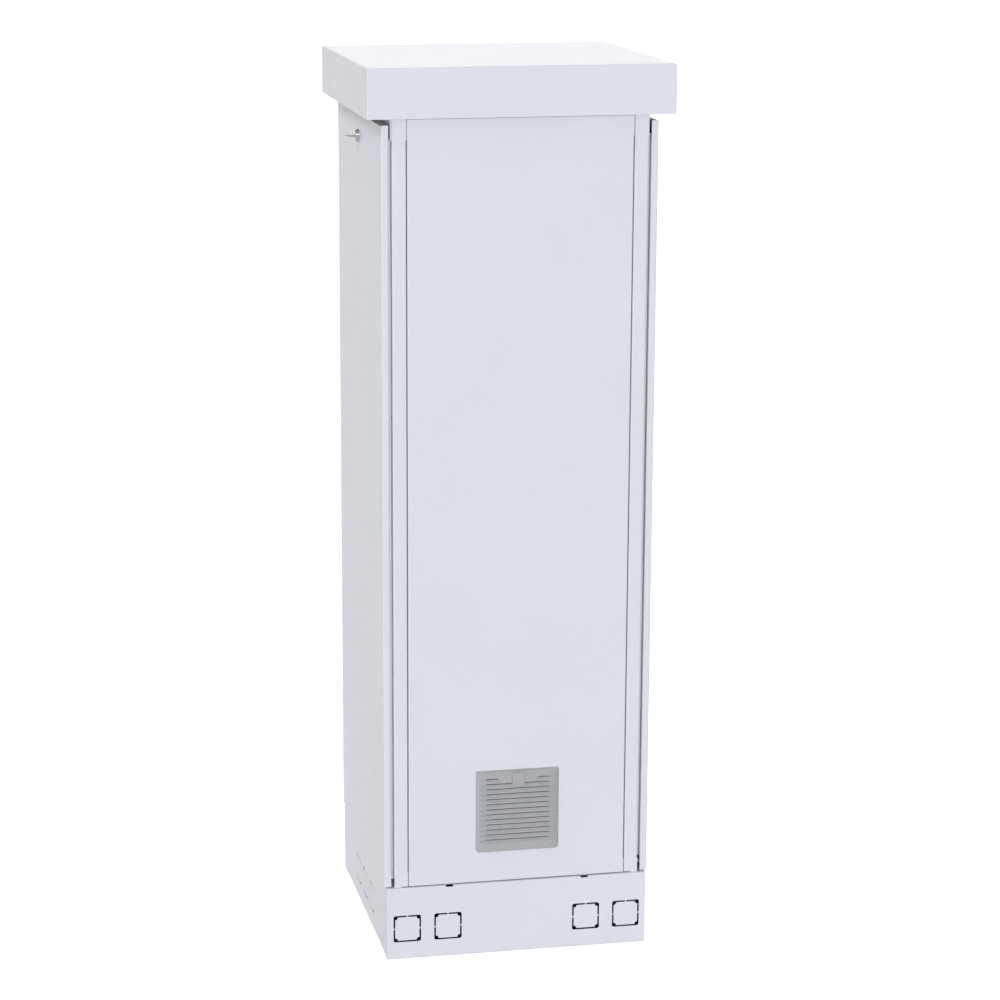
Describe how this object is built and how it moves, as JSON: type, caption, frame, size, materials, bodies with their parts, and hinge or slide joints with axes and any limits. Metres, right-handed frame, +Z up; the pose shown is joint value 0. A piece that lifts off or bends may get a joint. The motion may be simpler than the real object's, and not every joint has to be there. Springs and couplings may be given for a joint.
{
  "type": "floor-standing rack cabinet",
  "caption": "Tall painted sheet-metal rack cabinet with an overhanging roof, locked tilt-out side covers, a louvred filter grille and a plinth with knock-outs.",
  "frame": {"origin": "middle of the plinth base, on the floor", "axes": "+X to the right seen from the grille side, +Y to the back, +Z up; the grille faces -Y"},
  "size_m": [0.72, 0.676, 2.14],
  "materials": {
    "paint": "pale grey-white fine-textured powder coat, half matt",
    "zinc": "zinc-plated steel",
    "chrome": "polished chrome plate",
    "rubber": "black cellular rubber",
    "grille_plastic": "light grey moulded plastic, fine grain",
    "fleece": "off-white filter fleece",
    "copper": "bare copper bar",
    "key_metal": "nickel-plated brass"
  },
  "bodies": {
    "cabinet": {"plinth_front": "paint", "plinth_rear": "paint", "plinth_left": "paint", "plinth_right": "paint", "plinth_bolts": "zinc", "floor_plate": "zinc", "gland_plate": "zinc", "cable_grommets": "rubber", "bottom_frame": "paint", "top_frame": "paint", "post_front_left": "paint", "post_front_right": "paint", "post_rear_left": "paint", "post_rear_right": "paint", "front_panel": "paint", "front_seal": "rubber", "rear_panel": "paint", "rear_seal": "rubber", "panel_nuts": "zinc", "top_plate": "paint", "roof_supports": "zinc", "roof": "paint", "roof_nuts": "zinc", "grille_frame": "grille_plastic", "filter_mat": "fleece", "rail_front_left": "zinc", "rail_front_right": "zinc", "rail_rear_left": "zinc", "rail_rear_right": "zinc", "bar_front_low": "zinc", "bar_front_mid": "zinc", "bar_front_high": "zinc", "bar_rear_low": "zinc", "bar_rear_mid": "zinc", "bar_rear_high": "zinc", "rail_bolts": "zinc", "rail_nuts": "zinc", "earth_bar": "copper", "earth_insulators": "rubber", "cover_hooks": "paint"},
    "left_side": {"left_cover": "paint", "left_seal": "rubber", "left_pins": "zinc", "left_lock_housing": "chrome", "left_lock_nut": "zinc"},
    "left_lock": {"left_plug": "chrome", "left_cam": "zinc", "left_cam_screw": "zinc", "key": "key_metal"},
    "right_side": {"right_cover": "paint", "right_seal": "rubber", "right_pins": "zinc", "right_lock_housing": "chrome", "right_lock_nut": "zinc"},
    "right_lock": {"right_plug": "chrome", "right_cam": "zinc", "right_cam_screw": "zinc"},
    "grille": {"grille_cover": "grille_plastic"}
  },
  "joints": [
    {"name": "left_cover_tilt", "type": "hinge", "parent": "cabinet", "child": "left_side", "pos_m": [-0.3155, 0, 0.198], "axis": [0, -1, 0], "range_deg": [0, 25]},
    {"name": "right_cover_tilt", "type": "hinge", "parent": "cabinet", "child": "right_side", "pos_m": [0.3155, 0, 0.198], "axis": [0, 1, 0], "range_deg": [0, 25]},
    {"name": "left_lock_turn", "type": "hinge", "parent": "left_side", "child": "left_lock", "pos_m": [-0.325, 0, 1.953], "axis": [-1, 0, 0], "range_deg": [0, 90]},
    {"name": "right_lock_turn", "type": "hinge", "parent": "right_side", "child": "right_lock", "pos_m": [0.325, 0, 1.953], "axis": [1, 0, 0], "range_deg": [0, 90]},
    {"name": "grille_fold", "type": "hinge", "parent": "cabinet", "child": "grille", "pos_m": [0, -0.324, 0.264], "axis": [1, 0, 0], "range_deg": [0, 60]}
  ]
}
